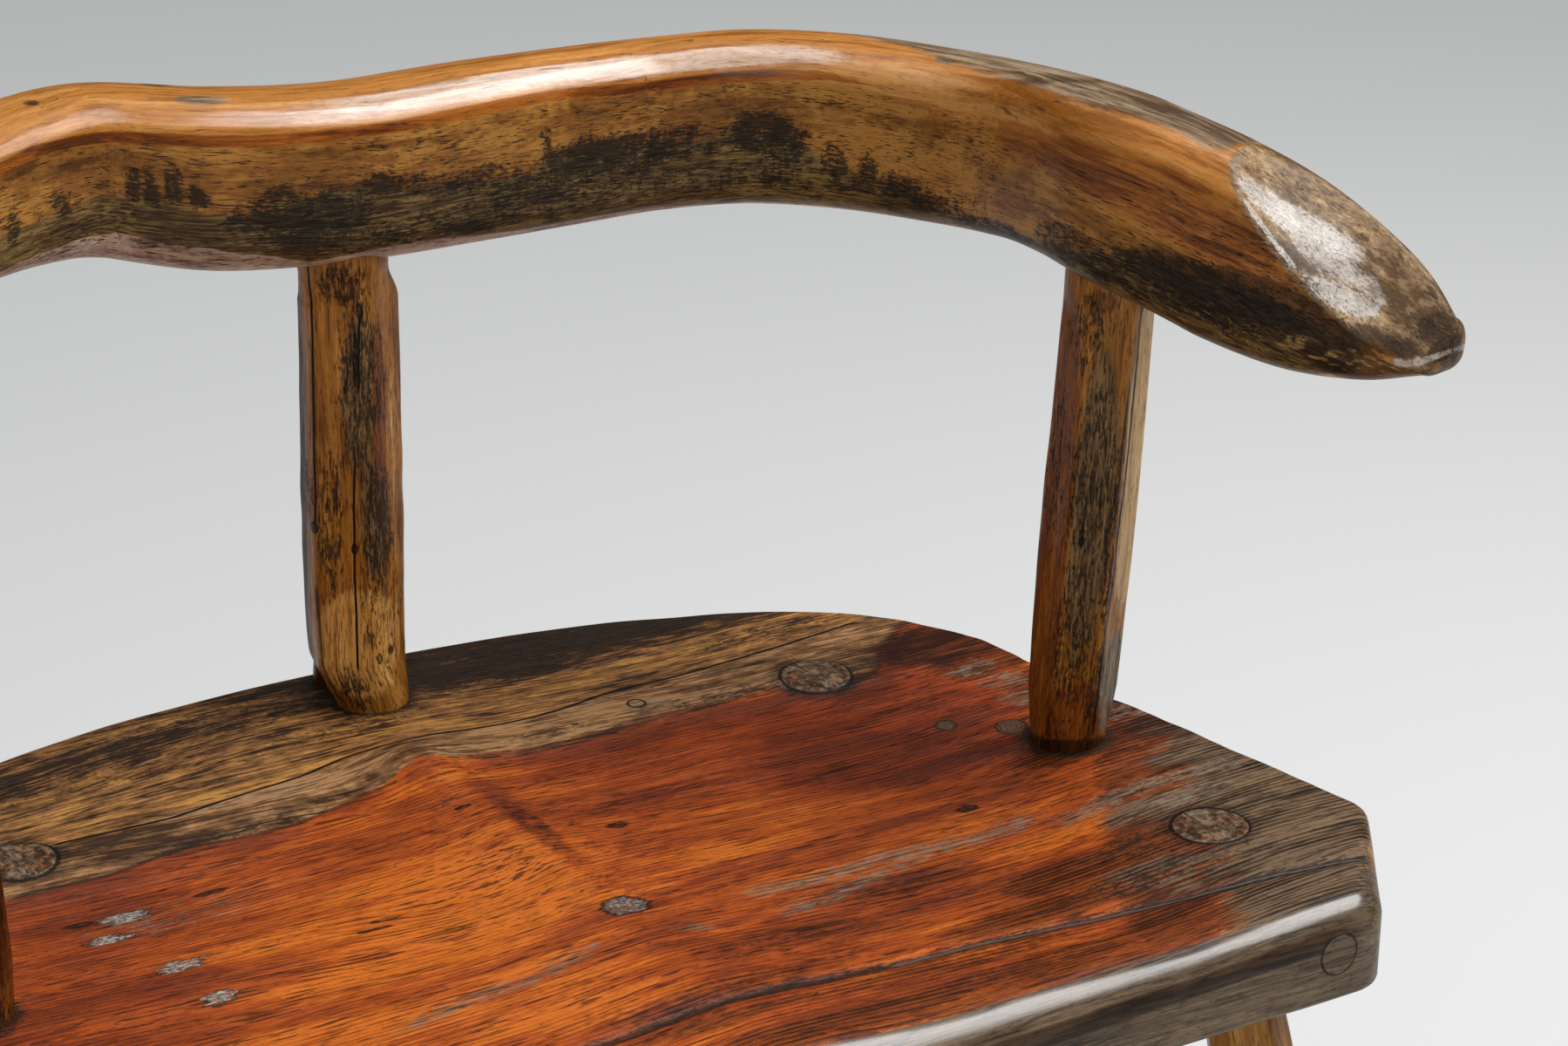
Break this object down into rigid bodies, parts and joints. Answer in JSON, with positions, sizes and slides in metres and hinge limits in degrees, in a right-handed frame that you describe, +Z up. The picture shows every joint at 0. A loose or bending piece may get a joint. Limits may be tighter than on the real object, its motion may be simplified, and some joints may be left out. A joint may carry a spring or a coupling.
{
  "type": "chair",
  "caption": "Low-back wooden stick armchair: thick dished slab seat, splayed shaved legs with wedged through tenons, short sticks under one naturally bent arm bow.",
  "frame": {"origin": "on the floor, under the middle of the chair's bounding box", "axes": "+X across the chair to the right of someone facing it, -Y the way the sitter faces, +Z up"},
  "size_m": [0.669, 0.4246, 0.7155],
  "materials": {
    "seat": "old waxed softwood slab, red-orange where worn, grey-brown at the back and the edges",
    "arm": "hand-polished honey-brown branch, darker and blotched inside, olive-grey at the ends",
    "stick": "shaved amber wood with dark streaks and long shakes",
    "stick_dark": "shaved dark amber wood",
    "leg": "shaved pale honey wood with dark streaks, rubbed tenon end",
    "wedge": "rubbed end grain, dark brown",
    "peg": "grey-brown end grain"
  },
  "bodies": {
    "root": {"seat": "seat", "arm_bow": "arm", "stick_left": "stick", "stick_right": "stick", "stick_back": "stick", "stick_back_slim": "stick_dark", "leg_front_left": "leg", "leg_front_right": "leg", "leg_back_left": "leg", "leg_back_right": "leg", "wedge_front_left": "wedge", "wedge_front_right": "wedge", "wedge_back_left": "wedge", "wedge_back_right": "wedge", "front_peg": "peg"}
  },
  "joints": []
}
